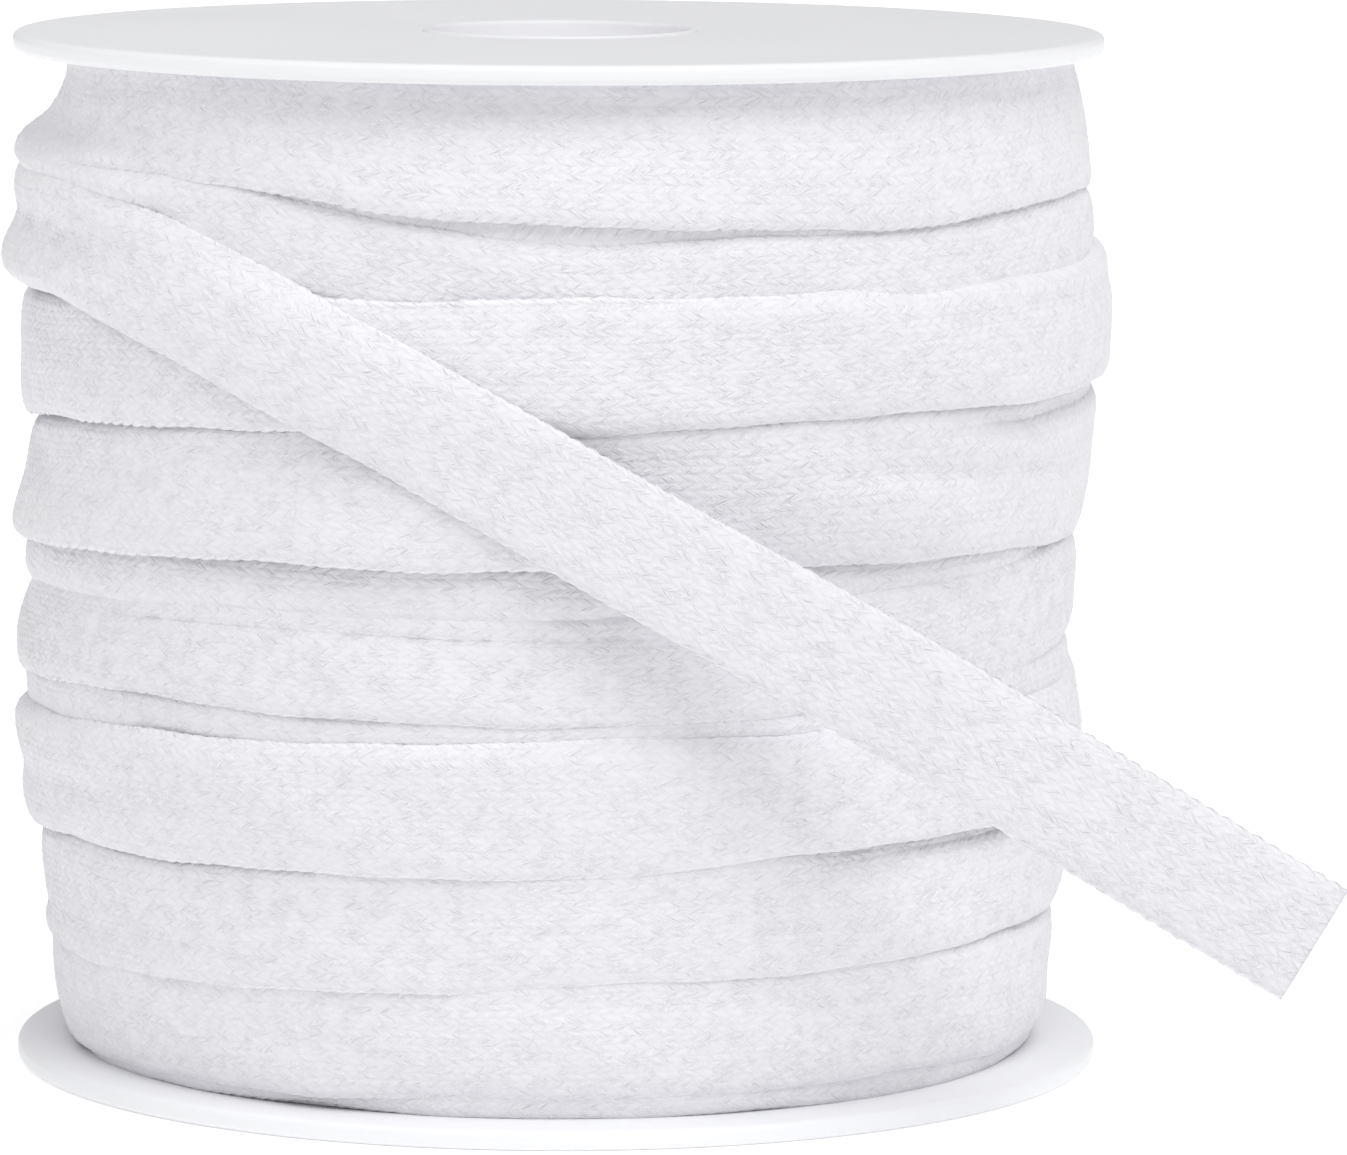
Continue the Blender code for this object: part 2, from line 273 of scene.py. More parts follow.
def curled(share, upper=1.0):
    # a square law beyond the place where each edge starts to turn; upper weakens the upper one
    beyond = np.clip(np.abs(2.0 * share - 1.0) - braid["curlFrom"], 0.0, 1.0)
    most = np.where(share > 0.5, braid["curlHigh"] * upper, braid["curlLow"])
    return most * (beyond / (1.0 - braid["curlFrom"])) ** 2


def weave(stitch, row):
    # height of the braid's surface, from 0 to 1: a rounded bundle across each slanted stitch times
    # a bow along it, with every other row half a stitch on
    lean = 1.0 - np.abs(np.mod(row, 2.0) - 1.0)
    leaned = stitch - braid["slant"] * lean
    whole = np.floor(row)

    def bundle(parity):
        cell = leaned + 0.5 * np.mod(whole + parity, 2.0)
        high = 1.0 + braid["uneven"] * scatter(np.floor(cell), whole)
        return np.sin(math.pi * np.mod(cell, 1.0)) ** braid["round"] * high

    bow = np.sin(math.pi * (row - whole))
    between = np.isclose(row, whole)
    ends = braid["ends"] * (bundle(0) + bundle(1)) / 2
    return np.where(between, ends, bundle(0) * (braid["ends"] + (1.0 - braid["ends"]) * bow))


def layCord(name, place, stitches, step, rowSteps, backRows, surface, node, cut=False):
    # A closed strip whose middle face is place(stitch, share), share being 0 at the lower edge and
    # 1 at the upper. Its outer face is that face plus its normal times half the thickness and the
    # weave. The thickness falls off to the edges as a superellipse. The columns follow the slant
    # of the stitches from row to row, so each stitch keeps clean sides; where the strip ends in a
    # cut they turn straight across.
    rows = braid["rows"]
    start, end = stitches
    columns = np.linspace(start, end, int(round((end - start) / step)) + 1)
    front = np.linspace(0.0, rows, rows * rowSteps + 1)
    if backRows:
        back = np.linspace(rows, 0.0, backRows * rowSteps + 1)[1:-1]
    else:
        back = rows * (1.0 + np.cos(np.linspace(0.0, math.pi, braid["plainBack"])))[1:-1] / 2
    row = np.concatenate([front, back])
    outside = np.arange(len(row)) < len(front)
    detailed = outside | bool(backRows)
    lean = np.where(detailed, 1.0 - np.abs(np.mod(row, 2.0) - 1.0), 0.0)
    fade = ramp(-columns, -end, -end + braid["cutRun"]) if cut else np.ones_like(columns)
    stitch = columns[:, None] + braid["slant"] * lean[None, :] * fade[:, None]
    stitch = np.clip(stitch, start - 1.0, end if cut else end + 1.0)
    share = np.broadcast_to(row[None, :] / rows, stitch.shape)
    wobble = drift(stitch, 3.0, braid["wobble"]) * np.sin(math.pi * share) / rows
    bent = np.clip(share + wobble, 0.0, 1.0)
    middle = place(stitch, bent)
    along, across = braid["reach"]
    alongWay = place(stitch + along, bent) - place(stitch - along, bent)
    low = np.clip(bent - across, 0.0, 1.0)
    high = np.clip(bent + across, 0.0, 1.0)
    acrossWay = place(stitch, high) - place(stitch, low)
    acrossWay /= np.linalg.norm(acrossWay, axis=-1, keepdims=True)
    normal = np.cross(alongWay, acrossWay)
    normal /= np.linalg.norm(normal, axis=-1, keepdims=True)
    side = 2.0 * share - 1.0
    power = braid["edgePower"]
    half = braid["thickness"] / 2 * (1.0 - np.abs(side) ** power) ** (1.0 / power)
    moved = pulled(stitch, row[None, :])
    woven = braid["relief"] * (weave(moved, share * rows) - braid["level"])
    raised = np.where(detailed[None, :], woven, 0.0)
    edge = np.abs(side) ** braid["loopPower"]
    out = np.where(outside[None, :], half + raised * (1.0 - edge), -half - raised * (1.0 - edge))
    loops = braid["scallop"] * (np.abs(np.sin(math.pi * stitch)) - 0.5) * edge * np.sign(side)
    loops = loops * (1.0 + braid["loopUneven"] * scatter(np.floor(stitch), np.sign(side)))
    points = middle + normal * out[..., None] + acrossWay * loops[..., None]
    around = len(row)
    total = len(columns)
    faces = ringFaces(total, around)
    # The cord map: stitches along, and rows round the strip, closing on itself after two faces
    mapRow = np.concatenate([front, 2 * rows - back, [2.0 * rows]])
    mapStitch = np.concatenate([moved, moved[:, :1]], axis=1)
    grid = np.stack(np.broadcast_arrays(mapStitch, mapRow[None, :]), axis=-1).reshape(-1, 2)
    spread = (grid - grid.min(axis=0)) / np.ptp(grid, axis=0)
    order = ringPairs(total, around)
    lids = [list(range(around)), list(range((total - 1) * around, total * around))[::-1]]
    lidPoints = np.array(lids).ravel()
    order = np.concatenate([order, lidPoints // around * (around + 1) + lidPoints % around])
    maps = {"cord": grid[order], "OFBake": spread[order]}
    return pieceFrom(name, points.reshape(-1, 3), faces.tolist() + lids, maps, surface,
                     node)


# Cotton: soft white, its fine ends and fuzz as bump, with painted shade in its crevices, painted glints on
# its yarns and a painted highlight along its edges
cotton = {
    "light": (0.95, 0.942, 0.97),
    # deep: the colour of the painted shade in the crevices between stitches
    "deep": (0.80, 0.795, 0.835),
    "roughness": 0.92,
    "specular": 0.25,
    "sheen": (0.15, 0.5),  # weight and roughness
    "ends": 3.0,           # fine yarn ends side by side in a stitch
    "endDepth": 0.030,     # mm
    "bundleDepth": 0.048,
    "streakDepth": 0.135,  # uneven yarns that run along each stitch
    "streaks": 6.0,        # of them side by side in a stitch
    "dashes": 2.0,         # of them one behind the other over a row
    "fuzzDepth": 0.045,
    "fuzzSize": 0.40,      # mm
    "tone": 0.05,          # share by which stitches differ in tone
    "clouds": (55.0, 0.04),     # per m and share, wider changes of tone
    "patches": 560.0,      # per m, how closely crisp and smooth patches follow each other
    "firm": (0.20, 1.20),  # how strong the yarns are in the smooth patches and in the crisp ones
    # the light colour's share: plain, and what a bundle's top adds (so the crevices between stitches take
    # painted shade), a yarn (its uneven tone and painted glints) and an edge's loop (a painted highlight)
    "mask": (0.40, 0.22, 1.9, 0.35),
    "edge": 1.0,           # rows at each edge over which the loops are painted lighter: a painted highlight
    "edgeDepth": 0.10,     # mm that those loops stand out
}


def cottonSurface(name):
    surface, shader, root = newSurface(name, {
        "Roughness": cotton["roughness"],
        "Specular IOR Level": cotton["specular"],
        "Sheen Weight": cotton["sheen"][0],
        "Sheen Roughness": cotton["sheen"][1],
    })
    place = root.make("ShaderNodeUVMap", {"uv_map": "cord"})
    split = root.make("ShaderNodeSeparateXYZ", values={0: place})
    stitch = split.other(0)
    row = split.other(1)
    lean = root.maths("PINGPONG", row, 1.0)
    whole = root.maths("FLOOR", row)
    cell = stitch - braid["slant"] * lean + 0.5 * root.maths("MODULO", whole, 2.0)
    inStitch = root.maths("FRACT", cell)
    bundle = root.maths("SINE", inStitch * math.pi)
    bow = root.maths("SINE", root.maths("FRACT", row) * math.pi)
    fine = root.maths("ABSOLUTE", root.maths("SINE", inStitch * (math.pi * cotton["ends"])))
    number = root.make("ShaderNodeCombineXYZ", values={0: root.maths("FLOOR", cell), 1: whole})
    chance = root.make("ShaderNodeTexWhiteNoise", {"noise_dimensions": "3D"}, {"Vector": number})
    where = root.make("ShaderNodeTexCoord", output=3)      # Object coordinates
    fuzz = root.make("ShaderNodeTexNoise", {"noise_dimensions": "3D"}, {
        "Vector": where,
        "Scale": 1.0 / (cotton["fuzzSize"] * mm),
        "Detail": 3.0,
        "Roughness": 0.6,
    })
    clouds = root.make("ShaderNodeTexNoise", {"noise_dimensions": "3D"}, {
        "Vector": where,
        "Scale": cotton["clouds"][0],
        "Detail": 2.0,
    })
    yarn = root.make("ShaderNodeCombineXYZ", values={
        0: cell * cotton["streaks"], 1: row * cotton["dashes"], 2: whole * 3.7})
    streak = root.make("ShaderNodeTexNoise", {"noise_dimensions": "3D"}, {
        "Vector": yarn,
        "Scale": 1.0,
        "Detail": 1.5,
        "Roughness": 0.6,
    })
    patches = root.make("ShaderNodeTexNoise", {"noise_dimensions": "3D"}, {
        "Vector": where,
        "Scale": cotton["patches"],
        "Detail": 2.0,
        "Roughness": 0.6,
    })
    firm = root.make("ShaderNodeMapRange", {"clamp": True}, {
        "Value": patches, "From Min": 0.40, "From Max": 0.60,
        "To Min": cotton["firm"][0], "To Max": cotton["firm"][1]})
    # painted shade: the colour lightens towards the bundles' tops and darkens into the crevices between
    # them
    high = bundle ** 0.6 * (0.35 + 0.65 * bow)
    # painted highlight: the loops along both edges of the cord are made lighter
    loops = root.make("ShaderNodeMapRange", {"clamp": True}, {
        "Value": root.maths("PINGPONG", row, braid["rows"] / 2.0),
        "From Min": 0.0, "From Max": cotton["edge"], "To Min": 1.0, "To Max": 0.0})
    tone = 1.0 - cotton["tone"] * chance + cotton["clouds"][1] * (clouds - 0.5)
    # the yarns' uneven tone, lighter where they stand high in the bump: painted glints
    dash = firm * (streak - 0.5)
    plainShare, reliefShadeShare, yarnToneAndGlintShare, edgeHighlightShare = cotton["mask"]
    mask = (plainShare + reliefShadeShare * high + yarnToneAndGlintShare * dash + edgeHighlightShare * loops) * tone
    # from the deep colour, the painted shade in the crevices, to the light one
    colour = root.make("ShaderNodeMix", {"data_type": "RGBA", "clamp_factor": True}, {
        0: mask,
        6: (*cotton["deep"], 1.0),
        7: (*cotton["light"], 1.0),
    }, output=2)
    feed(shader, colour, "Base Color")
    yarns = cotton["endDepth"] * fine * bow + cotton["streakDepth"] * streak
    height = (cotton["bundleDepth"] * high * (0.6 + 0.8 * chance) + yarns * firm
              + cotton["edgeDepth"] * loops * bundle + cotton["fuzzDepth"] * fuzz)
    bump = root.make("ShaderNodeBump", values={"Strength": 1.0, "Distance": mm, "Height": height})
    feed(shader, bump, "Normal")
    return surface


# Winding: the outermost course climbs from the lower flange to where the loose end leaves it.
# Angles count on from turn to turn, so one turn runs from 360 n - 180 to 360 n + 180 degrees.
course = {
    "azimuths": (-80.0, -40.0, 0.0, 40.0, 80.0),
    # lower edge, upper edge: heights in mm at those azimuths, then the outer face's radius at its
    # lower and upper edge on the left, and at its lower and upper edge on the right
    "turns": (
        ((2.6, 3.1, 4.0, 4.2, 3.9), (15.9, 16.4, 17.3, 17.5, 17.2), 52.05, 53.9, 51.5, 52.6),
        ((12.8, 13.7, 15.6, 16.4, 17.2), (26.1, 27.0, 28.6, 29.6, 30.4), 53.9, 54.6, 53.3, 53.4),
        ((25.4, 26.4, 26.9, 28.8, 28.6), (38.6, 39.6, 40.9, 41.2, 41.8), 55.6, 57.5, 54.8, 54.9),
        ((41.8, 42.8, 42.1, 43.4, 45.4), (52.6, 53.9, 54.1, 55.6, 57.6), 57.1, 55.2, 54.4, 53.9),
        ((55.8, 57.5, 57.9, 57.5, 56.6), (69.1, 71.2, 72.0, 73.2, 73.6), 57.9, 54.8, 55.3, 56.6),
        ((68.6, 70.7, 71.5, 72.6, 72.5), (82.2, 84.3, 84.9, 85.5, 86.9), 56.4, 55.7, 58.1, 57.6),
        ((82.0, 84.6, 86.0, 87.2, 88.4), (95.0, 97.6, 99.0, 100.2, 101.4), 58.1, 56.5, 56.2, 56.0),
    ),
    "first": (2.9, 15.9),  # lower and upper edge where the lowest turn comes out at the back
    "last": (92.0, 105.0),
    "firstRise": (-180.0, -120.0),  # degrees over which the lowest turn rises from the course below
    "crown": 0.30,         # mm that the middle stands out beyond the edges
    "tuck": 0.7,           # mm below the next turn's edge where a turn starts to dip under it
    "sink": 0.58,          # mm that it dips, and how that varies: degrees and mm
    "sinkWaves": ((83.0, 0.12), (41.0, 0.10), (17.0, 0.06)),
    "rise": (3.5, 0.75),   # mm below that edge from where it rises at the front, and up to what
                           # depth behind the next turn's face
    "waves": ((61.0, 0.14), (37.0, 0.10), (23.0, 0.07)),    # degrees and mm, in and out
    "edgeWaves": ((47.0, 0.16), (29.0, 0.10), (13.0, 0.06)),
    "creaseFade": 15.0,    # degrees over which a crease fades in and out
    # soft creases along a turn: turn, azimuths where it starts and ends, share of the width
    # there, depth in mm, half width as a share
    "creases": (
        (0, -85.0, 25.0, 0.82, 0.76, 0.35, 0.09),
        (1, -110.0, -25.0, 0.27, 0.30, 0.25, 0.09),
        (1, -140.0, -40.0, 0.50, 0.45, 0.30, 0.25),
        (2, -140.0, -40.0, 0.42, 0.45, 0.35, 0.13),
        (3, -60.0, 15.0, 0.73, 0.73, 0.30, 0.07),
        (4, -140.0, -40.0, 0.52, 0.55, 0.85, 0.28),
        (4, 20.0, 88.0, 0.62, 0.42, 0.55, 0.10),
        (5, 35.0, 100.0, 0.72, 0.70, 0.30, 0.09),
        (4, 40.0, 130.0, 0.85, 0.85, 0.80, 0.07),
        (5, 30.0, 160.0, 1.0, 1.0, 2.80, 0.12),
        (2, -150.0, -45.0, 1.0, 1.0, 0.35, 0.10),
        (1, 20.0, 68.0, 1.0, 0.95, 3.0, 0.15),
    ),
}


def courseKnots():
    angles, lows, highs = [-180.0], [course["first"][0]], [course["first"][1]]
    radiusAngles, lowRadii, highRadii = [], [], []
    for turn, (low, high, lowLeft, highLeft, lowRight, highRight) in enumerate(course["turns"]):
        angles += [360.0 * turn + azimuth for azimuth in course["azimuths"]]
        lows += low
        highs += high
        radiusAngles += [360.0 * turn - 90.0, 360.0 * turn + 90.0]
        lowRadii += [lowLeft, lowRight]
        highRadii += [highLeft, highRight]
    angles.append(360.0 * (len(course["turns"]) - 1) + 180.0)
    lows.append(course["last"][0])
    highs.append(course["last"][1])
    return {"angles": angles, "lows": lows, "highs": highs,
            "radiusAngles": radiusAngles, "lowRadii": lowRadii, "highRadii": highRadii}


courseWay = courseKnots()

# The course beneath: the outer radius of its face by height, on the left and on the right
under = {
    "left": ((2, 12, 20, 30, 40, 50, 58, 68, 80, 88, 96, 106),
             (51.1, 51.7, 52.5, 53.9, 54.7, 55.0, 54.4, 54.0, 54.2, 55.0, 54.6, 52.5)),
    "right": ((2, 12, 20, 30, 40, 50, 58, 68, 80, 88, 96, 106),
              (50.4, 50.9, 51.4, 52.8, 52.7, 52.5, 53.1, 54.4, 55.9, 55.9, 55.2, 53.6)),
    # lower edges in mm at the azimuths of the outer course, one row for each turn from the top
    "lows": (
        (95.6, 94.9, 92.0, 91.2, 92.4),
        (84.2, 82.3, 77.6, 78.3, 79.4),
        (70.0, 68.0, 65.5, 65.0, 64.5),
        (47.5, 47.0, 46.5, 46.0, 46.0),
        (31.5, 31.0, 30.8, 31.8, 33.5),
        (18.0, 17.5, 17.0, 16.5, 16.0),
        (2.0, 1.9, 1.7, 1.6, 1.7),
    ),
    "first": 99.6,
    "last": 1.8,
    "width": 13.1,
    # radii of the top turn's outer face at its lower and upper edge and its width, by azimuth
    "topAzimuths": (-180.0, -80.0, -40.0, 0.0, 40.0, 80.0, 180.0),
    "topLow": (53.4, 56.1, 55.4, 56.6, 56.3, 56.4, 55.3),
    "topHigh": (52.2, 51.5, 51.9, 52.6, 53.5, 53.6, 53.8),
    "topWidth": (13.1, 13.1, 13.4, 14.9, 15.7, 14.7, 13.1),
    "topBow": (0.1, -1.50, 0.0, 0.35, 0.3, 0.0, 0.3),   # mm that its middle stands out
    "topBlend": 0.3,       # mm, how gently it does
    "creases": (
        (0, -140.0, -45.0, 0.05, 0.05, -1.4, 0.11),
        (1, -140.0, -40.0, 0.87, 0.87, -2.6, 0.12),
    ),
    "topLimit": 106.25,    # mm, the highest that the middle of a turn goes before it folds inwards
    "curl": 0.4,           # share of the wound cord's curl that its upper edges keep
    "topUntil": (130.0, 180.0),     # degrees over which the top turn hands over to the next
    "swell": 1.2,          # mm that it swells into a gap between two outer turns
    "swellReach": 1.3,     # mm that the swelling goes on behind the turns on both sides
    "swellOpen": (-1.3, 0.4),   # widths of a gap from which it starts and at which it is full
    "waves": ((71.0, 0.12), (31.0, 0.09)),
    "edgeWaves": ((53.0, 0.20), (27.0, 0.12), (11.0, 0.05)),
}


def bedRadius(azimuth, height):
    # between the two tables by (1 + sin azimuth) / 2
    left = through(*under["left"], height)
    right = through(*under["right"], height)
    return left + (right - left) * (1.0 + np.sin(np.radians(azimuth))) / 2


def creased(angle, share, creases):
    # the sum of the creases' depths, each a bell over the width that fades in and out along
    depth = 0.0
    fade = course["creaseFade"]
    for turn, first, last, shareFirst, shareLast, deep, wide in creases:
        azimuth = angle - 360.0 * turn
        middle = np.interp(azimuth, (first, last), (shareFirst, shareLast))
        along = ramp(azimuth, first, first + fade) * ramp(-azimuth, -last, fade - last)
        depth = depth + deep * along * np.exp(-((share - middle) / wide) ** 2)
    return depth


def courseFace(angle, share):
    # outer face of the outermost course: radius and height in mm
    low = through(courseWay["angles"], courseWay["lows"], angle)
    high = through(courseWay["angles"], courseWay["highs"], angle)
    nextLow = through(courseWay["angles"], courseWay["lows"], angle + 360.0)
    lowRadius = through(courseWay["radiusAngles"], courseWay["lowRadii"], angle)
    highRadius = through(courseWay["radiusAngles"], courseWay["highRadii"], angle)
    nextRadius = through(courseWay["radiusAngles"], courseWay["lowRadii"], angle + 360.0)
    low = low + drift(angle, 1.0, course["edgeWaves"])
    high = high + drift(angle, 5.0, course["edgeWaves"])
    height = low + (high - low) * share
    radius = lowRadius + (highRadius - lowRadius) * share
    radius = radius + course["crown"] * (1.0 - (2.0 * share - 1.0) ** 2) - course["crown"] / 3
    radius = radius + drift(angle + 40.0 * share, 2.0, course["waves"])
    radius = radius - curled(share) - creased(angle, share, course["creases"])
    bare = bedRadius(angle, height)
    radius = bare + (radius - bare) * ramp(angle, *course["firstRise"])
    isLast = angle > 360.0 * (len(course["turns"]) - 1) - 180.0
    beyond = np.where(isLast, 0.0, ramp(height, nextLow - course["tuck"], nextLow + 0.3))
    reach, behind = course["rise"]
    rising = np.where(isLast, 0.0, ramp(height, nextLow - reach, nextLow)) * np.cos(np.radians(angle)) ** 2
    radius = radius + rising * np.maximum(nextRadius - behind - radius, 0.0)
    limit = nextRadius - course["sink"] - drift(angle, 9.0, course["sinkWaves"])
    radius = radius + beyond * np.minimum(limit - radius, 0.0)
    return radius, height


def gapSwell(angle, height):
    # how far the course beneath swells into the gaps between outer turns: a flat bell over each.
    # The last turn leaves as the loose end, so there is no gap beneath it.
    azimuth = np.mod(angle + 180.0, 360.0) - 180.0
    most = 0.0
    for turn in range(len(course["turns"]) - 2):
        below = through(courseWay["angles"], courseWay["highs"], azimuth + 360.0 * turn)
        above = through(courseWay["angles"], courseWay["lows"], azimuth + 360.0 * (turn + 1))
        away = (height - (below + above) / 2) / (np.maximum(above - below, 0.0) / 2 + under["swellReach"])
        opened = ramp(above - below, *under["swellOpen"])
        most = np.maximum(most, opened * np.exp(-away ** 4))
    return under["swell"] * most


def underKnots():
    angles, lows = [-180.0], [under["first"]]
    for turn, low in enumerate(under["lows"]):
        angles += [360.0 * turn + azimuth for azimuth in course["azimuths"]]
        lows += low
    angles.append(360.0 * (len(under["lows"]) - 1) + 180.0)
    lows.append(under["last"])
    return angles, lows


underWay = underKnots()


def underFace(angle, share):
    # outer face of the course beneath: radius and height in mm. The top turn has radii of its own,
    # and where it meets the flange it folds inwards, keeping its width.
    low = through(*underWay, angle) + drift(angle, 8.0, under["edgeWaves"])
    isTop = 1.0 - ramp(angle, *under["topUntil"])
    topWidth = through(under["topAzimuths"], under["topWidth"], angle)
    width = under["width"] + (topWidth - under["width"]) * isTop
    height = low + width * share
    level = softBelow(height, under["topLimit"], under["topBlend"])
    folded = height - level
    radius = bedRadius(angle, level)
    topLow = through(under["topAzimuths"], under["topLow"], angle)
    topHigh = through(under["topAzimuths"], under["topHigh"], angle)
    visible = np.clip((level - low) / (under["topLimit"] - low), 0.0, 1.0)
    topBow = through(under["topAzimuths"], under["topBow"], angle)
    top = topLow + (topHigh - topLow) * visible + topBow * np.sin(math.pi * visible)
    radius = radius + (top - radius) * isTop - folded - curled(share, under["curl"] * (1.0 - isTop))
    radius = radius - creased(angle, share, under["creases"])
    radius = radius + gapSwell(angle, level) * (1.0 - isTop)
    radius = radius + drift(angle + 40.0 * share, 4.0, under["waves"])
    return radius, level


def angleOf(stitch):
    return stitch * 360.0 / braid["turnStitches"] - 180.0


def turnOf(face):
    # the middle of the cord's thickness, by stitch and share
    def place(stitch, share):
        angle = angleOf(stitch)
        radius, height = face(angle, share)
        return onReel(angle, radius - braid["thickness"] / 2, height)
    return place


whiteCotton = cottonSurface("white_cotton")
joinStitch = 1240.5        # where the wound cord hands over to its loose end
fineSteps, plainSteps = (0.25, 2), (0.5, 1)     # stitches between columns, and points for each row
for turn in range(len(course["turns"])):
    start = braid["turnStitches"] * turn
    end = min(start + braid["turnStitches"], joinStitch)
    layCord(f"turn_{turn + 1}", turnOf(courseFace), (start, end), *fineSteps, 0, whiteCotton, "winding")
print("outer turns wound")

shownUnder = (0, 1, 3)     # the turns beneath that show, which have the fine steps
for turn in range(len(under["lows"])):
    start = braid["turnStitches"] * turn
    steps = fineSteps if turn in shownUnder else plainSteps
    layCord(f"under_turn_{turn + 1}", turnOf(underFace), (start, start + braid["turnStitches"]),
            *steps, 0, whiteCotton, "winding")
print("turns beneath wound")


# Inner winding: what the gaps between turns look down on
inner = {
    "depth": 0.9,          # mm behind the face of the course beneath
    "fill": (91.6, 2.2, 0.3),   # height and half width of a fuller band, and mm that it is fuller
    "columns": 120,
    "rows": 60,
    "bottom": 2.2,
    "top": 104.6,
    "tuck": (96.6, 98.2, 3.6),   # heights between which it draws in, and by how many mm
    "hub": 16.4,
}


def makeInner(setting, surface):
    # a closed ring: radius is that of the course beneath less the depth, which is a bell over height
    # and grows by the tuck under the upper flange
    azimuth = np.linspace(-180.0, 180.0, setting["columns"] + 1)
    height = np.linspace(setting["bottom"], setting["top"], setting["rows"])
    middle, wide, fuller = setting["fill"]
    depth = setting["depth"] - fuller * np.exp(-((height - middle) / wide) ** 2)
    below, above, drawnIn = setting["tuck"]
    depth = depth + drawnIn * np.clip((height - below) / (above - below), 0.0, 1.0)
    radius = bedRadius(azimuth[:, None], height[None, :]) - depth
    low = np.full((len(azimuth), 1), setting["hub"])
    radius = np.concatenate([low, radius, low], axis=1)
    height = np.concatenate([height[:1], height, height[-1:]])
    grid = np.broadcast_to(height[None, :], radius.shape)
    points = onReel(azimuth[:-1, None], radius[:-1], grid[:-1])
    around = radius.shape[1]
    faces = ringFaces(len(azimuth), around) % (setting["columns"] * around)
    ways = np.stack(np.broadcast_arrays(
        (azimuth[:, None] + 180.0) * braid["turnStitches"] / 360.0,
        np.arange(around + 1)[None, :] * 1.0), axis=-1).reshape(-1, 2)
    order = ringPairs(len(azimuth), around)
    spread = (ways - ways.min(axis=0)) / np.ptp(ways, axis=0)
    maps = {"cord": ways[order], "OFBake": spread[order]}
    pieceFrom("inner_winding", points.reshape(-1, 3), faces.tolist(), maps, surface,
              "winding")


makeInner(inner, whiteCotton)


# Loose end: its middle line's heights over these azimuths, then at these level distances from
# the place where it leaves the winding
loose = {
    "azimuths": (-107.0, -90.0, -75.0, -60.0, -40.0, -20.0, -8.0),
    "heights": (87.6, 88.5, 88.6, 88.2, 83.5, 75.6, 69.5),
    "runs": (20.0, 40.0, 60.0, 82.9),
    "freeHeights": (58.7, 47.9, 36.05, 22.6),
    "width": 12.7,
    "bow": 3.0,            # mm that the free run bends back by its end
    "curl": 0.9,           # share of the wound cord's curl that its edges keep where it lies on
    "curlFree": 0.3,       # the turns, and where it is free
    "hug": (0.45, 0.95),   # places across, from the middle, where the upper edge sinks to the turns
    "press": 0.55,         # mm that it is pressed into them
    "flare": 2.1,          # mm that its lower edge stands off on the left
    "flareShares": (0.15, 0.58),
    "flareRound": 1.6,     # mm that the last of that edge turns in again
    "flareAzimuths": (-78.0, -42.0),
    "wrap": 57.0,          # mm, the radius on which its run is measured
    "clear": 0.12,         # mm between it and the turns that it lies on
    "settle": 18.0,        # mm over which it lifts from the turn that it continues
    "waves": ((67.0, 0.25), (31.0, 0.12)),
    # mm along it over which its waves grow, its rows turn to its slope and its flare grows
    "wavesFrom": (20.0, 60.0),
    "tiltIn": (-1.0, 15.0),
    "flareIn": 15.0,
    # mm before the place where it leaves, from where the hug fades, and those from that place
    # over which its edges lose their curl
    "hugUntil": 12.0,
    "freeFrom": (-30.0, 5.0),
    "least": 50.0,         # mm, the smallest radius of what it lies on
    "stations": (170, 15), # places along it and across it where the turns beneath are felt
    "past": (2.0, 4.0),    # mm past the place where it leaves, from where they no longer are
}


def looseLine(setting):
    # level distance run and height of the middle line, every 0.5 mm along it
    bent = np.radians(np.array(setting["azimuths"]) - setting["azimuths"][0]) * setting["wrap"]
    knotRuns = np.concatenate([bent, bent[-1] + np.array(setting["runs"])])
    heights = setting["heights"] + setting["freeHeights"]
    run = np.linspace(0.0, knotRuns[-1], 800)
    height = through(knotRuns, heights, run)
    length = np.concatenate([[0.0], np.cumsum(np.hypot(np.diff(run), np.diff(height)))])
    even = np.linspace(0.0, length[-1], int(round(length[-1] / 0.5)) + 1)
    return even, np.interp(even, length, run), np.interp(even, length, height), bent[-1]


def woundRadius(azimuth, height, least):
    # the outermost face at each azimuth and height, over all the turns of both courses
    best = np.full(np.broadcast(azimuth, height).shape, least)
    shares = np.linspace(0.0, 1.0, 14)
    for face, turns in ((courseFace, len(course["turns"])), (underFace, len(under["lows"]))):
        for turn in range(turns):
            angle = azimuth + 360.0 * turn
            if face is courseFace:
                angle = np.minimum(angle, angleOf(joinStitch))
            radius, level = face(angle[..., None], shares)
            index = (height[..., None] >= level).sum(axis=-1)
            inside = (index > 0) & (index < len(shares))
            if face is courseFace:
                inside &= np.isclose(angle, azimuth + 360.0 * turn)
            lower = np.clip(index - 1, 0, len(shares) - 2)[..., None]
            r0 = np.take_along_axis(radius, lower, axis=-1)[..., 0]
            r1 = np.take_along_axis(radius, lower + 1, axis=-1)[..., 0]
            best = np.where(inside, np.maximum(best, np.maximum(r0, r1)), best)
    return best


def evened(values, measure, reach):
    # the mean or the largest of each value and its neighbours, up to (along, across) away
    padded = np.pad(values, [(reach[0],) * 2, (reach[1],) * 2], mode="edge")
    rows, columns = values.shape
    return measure([padded[i:i + rows, j:j + columns]
                    for i in range(2 * reach[0] + 1) for j in range(2 * reach[1] + 1)], axis=0)


def between(grid, first, second):
    # bilinear reading of a grid at fractional places in its two directions
    first = np.clip(first, 0.0, grid.shape[0] - 1.001)
    second = np.clip(second, 0.0, grid.shape[1] - 1.001)
    i, j = first.astype(int), second.astype(int)
    a, b = first - i, second - j
    return ((grid[i, j] * (1 - b) + grid[i, j + 1] * b) * (1 - a)
            + (grid[i + 1, j] * (1 - b) + grid[i + 1, j + 1] * b) * a)


